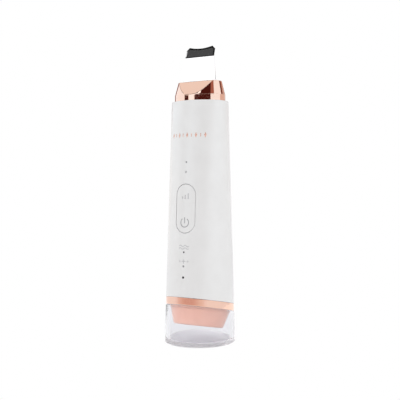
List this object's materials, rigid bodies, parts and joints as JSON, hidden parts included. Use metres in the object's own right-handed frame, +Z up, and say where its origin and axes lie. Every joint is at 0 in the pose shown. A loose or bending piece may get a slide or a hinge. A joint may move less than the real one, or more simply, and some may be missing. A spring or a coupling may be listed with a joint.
{
  "type": "skin scrubber",
  "caption": "Hand-held skin scrubber with an ultrasonic spatula blade at one end, a plasma head under a clear stand cap at the other, and a rocker key on the body.",
  "frame": {"origin": "on the floor, under the middle of the clear cap that the device stands in", "axes": "+Z up along the body to the blade's tip, -Y the side with the rocker key, +X to the right as seen from the key's side"},
  "size_m": [0.046, 0.048, 0.1938],
  "materials": {
    "white_shell": "satin",
    "rose_gold": "polished",
    "pink_plastic": "satin",
    "clear_acrylic": "gloss",
    "polished_steel": "polished",
    "plain_steel": "satin",
    "silicone": "matte",
    "grey_lens": "gloss",
    "black_lens": "gloss",
    "led_body": "satin",
    "circuit_board": "satin",
    "dark_plastic": "matte",
    "horn_aluminium": "satin",
    "brass": "satin",
    "piezo_ceramic": "matte",
    "emitter_ceramic": "gloss",
    "cell_wrap": "satin",
    "copper_wire": "satin",
    "red_wire": "satin",
    "black_wire": "satin"
  },
  "bodies": {
    "handle": {"body_shell": "white_shell", "head_shell": "rose_gold", "trim_ring": "rose_gold", "plasma_housing": "pink_plastic", "blade": "polished_steel", "blade_screw_left": "plain_steel", "blade_screw_right": "plain_steel", "back_mass": "plain_steel", "preload_bolt": "plain_steel", "key_pivot_pin": "plain_steel", "board_screw_upper": "plain_steel", "board_screw_lower": "plain_steel", "battery_tab_upper": "plain_steel", "battery_tab_lower": "plain_steel", "base_screw_left": "plain_steel", "base_screw_right": "plain_steel", "usb_shell": "plain_steel", "blade_seal": "silicone", "transducer_sleeve": "silicone", "level_lens_upper": "grey_lens", "level_lens_lower": "grey_lens", "peeling_lens": "grey_lens", "plasma_lens": "grey_lens", "charge_lens": "black_lens", "led_level_upper": "led_body", "led_level_lower": "led_body", "led_peeling": "led_body", "led_plasma": "led_body", "led_charge": "led_body", "main_board": "circuit_board", "hv_board": "circuit_board", "usb_board": "circuit_board", "chassis": "dark_plastic", "key_bracket": "dark_plastic", "level_switch": "dark_plastic", "power_switch": "dark_plastic", "base_frame": "dark_plastic", "hv_core": "dark_plastic", "usb_tongue": "dark_plastic", "transducer_horn": "horn_aluminium", "electrode_tab": "brass", "plate_terminal": "brass", "piezo_ring_rear": "piezo_ceramic", "piezo_ring_front": "piezo_ceramic", "plasma_plate": "emitter_ceramic", "battery_cell": "cell_wrap", "hv_coil": "copper_wire", "transducer_lead_live": "red_wire", "battery_lead_upper": "red_wire", "plasma_lead": "red_wire", "transducer_lead_ground": "black_wire", "battery_lead_lower": "black_wire", "usb_lead": "black_wire"},
    "cap": {"clear_cap": "clear_acrylic"},
    "key": {"rocker_key": "white_shell"},
    "level_button": {"level_plunger": "silicone"},
    "power_button": {"power_plunger": "silicone"}
  },
  "joints": [
    {"name": "cap_slide", "type": "slide", "parent": "handle", "child": "cap", "axis": [0, 0, -1], "range_m": [0, 0.045]},
    {"name": "key_rock", "type": "hinge", "parent": "handle", "child": "key", "pos_m": [0, -0.0151, 0.08775], "axis": [-1, 0, 0], "range_deg": [-1.5, 1.5], "stiffness_Nm_per_rad": 0.2},
    {"name": "level_press", "type": "slide", "parent": "handle", "child": "level_button", "axis": [0, 1, 0], "range_m": [-0.00023, 0.00023]},
    {"name": "power_press", "type": "slide", "parent": "handle", "child": "power_button", "axis": [0, 1, 0], "range_m": [-0.00023, 0.00023]}
  ],
  "couplings": [
    {"joint": "level_press", "follows": "key_rock", "m_per_rad": 0.0085},
    {"joint": "power_press", "follows": "key_rock", "m_per_rad": -0.0085}
  ]
}
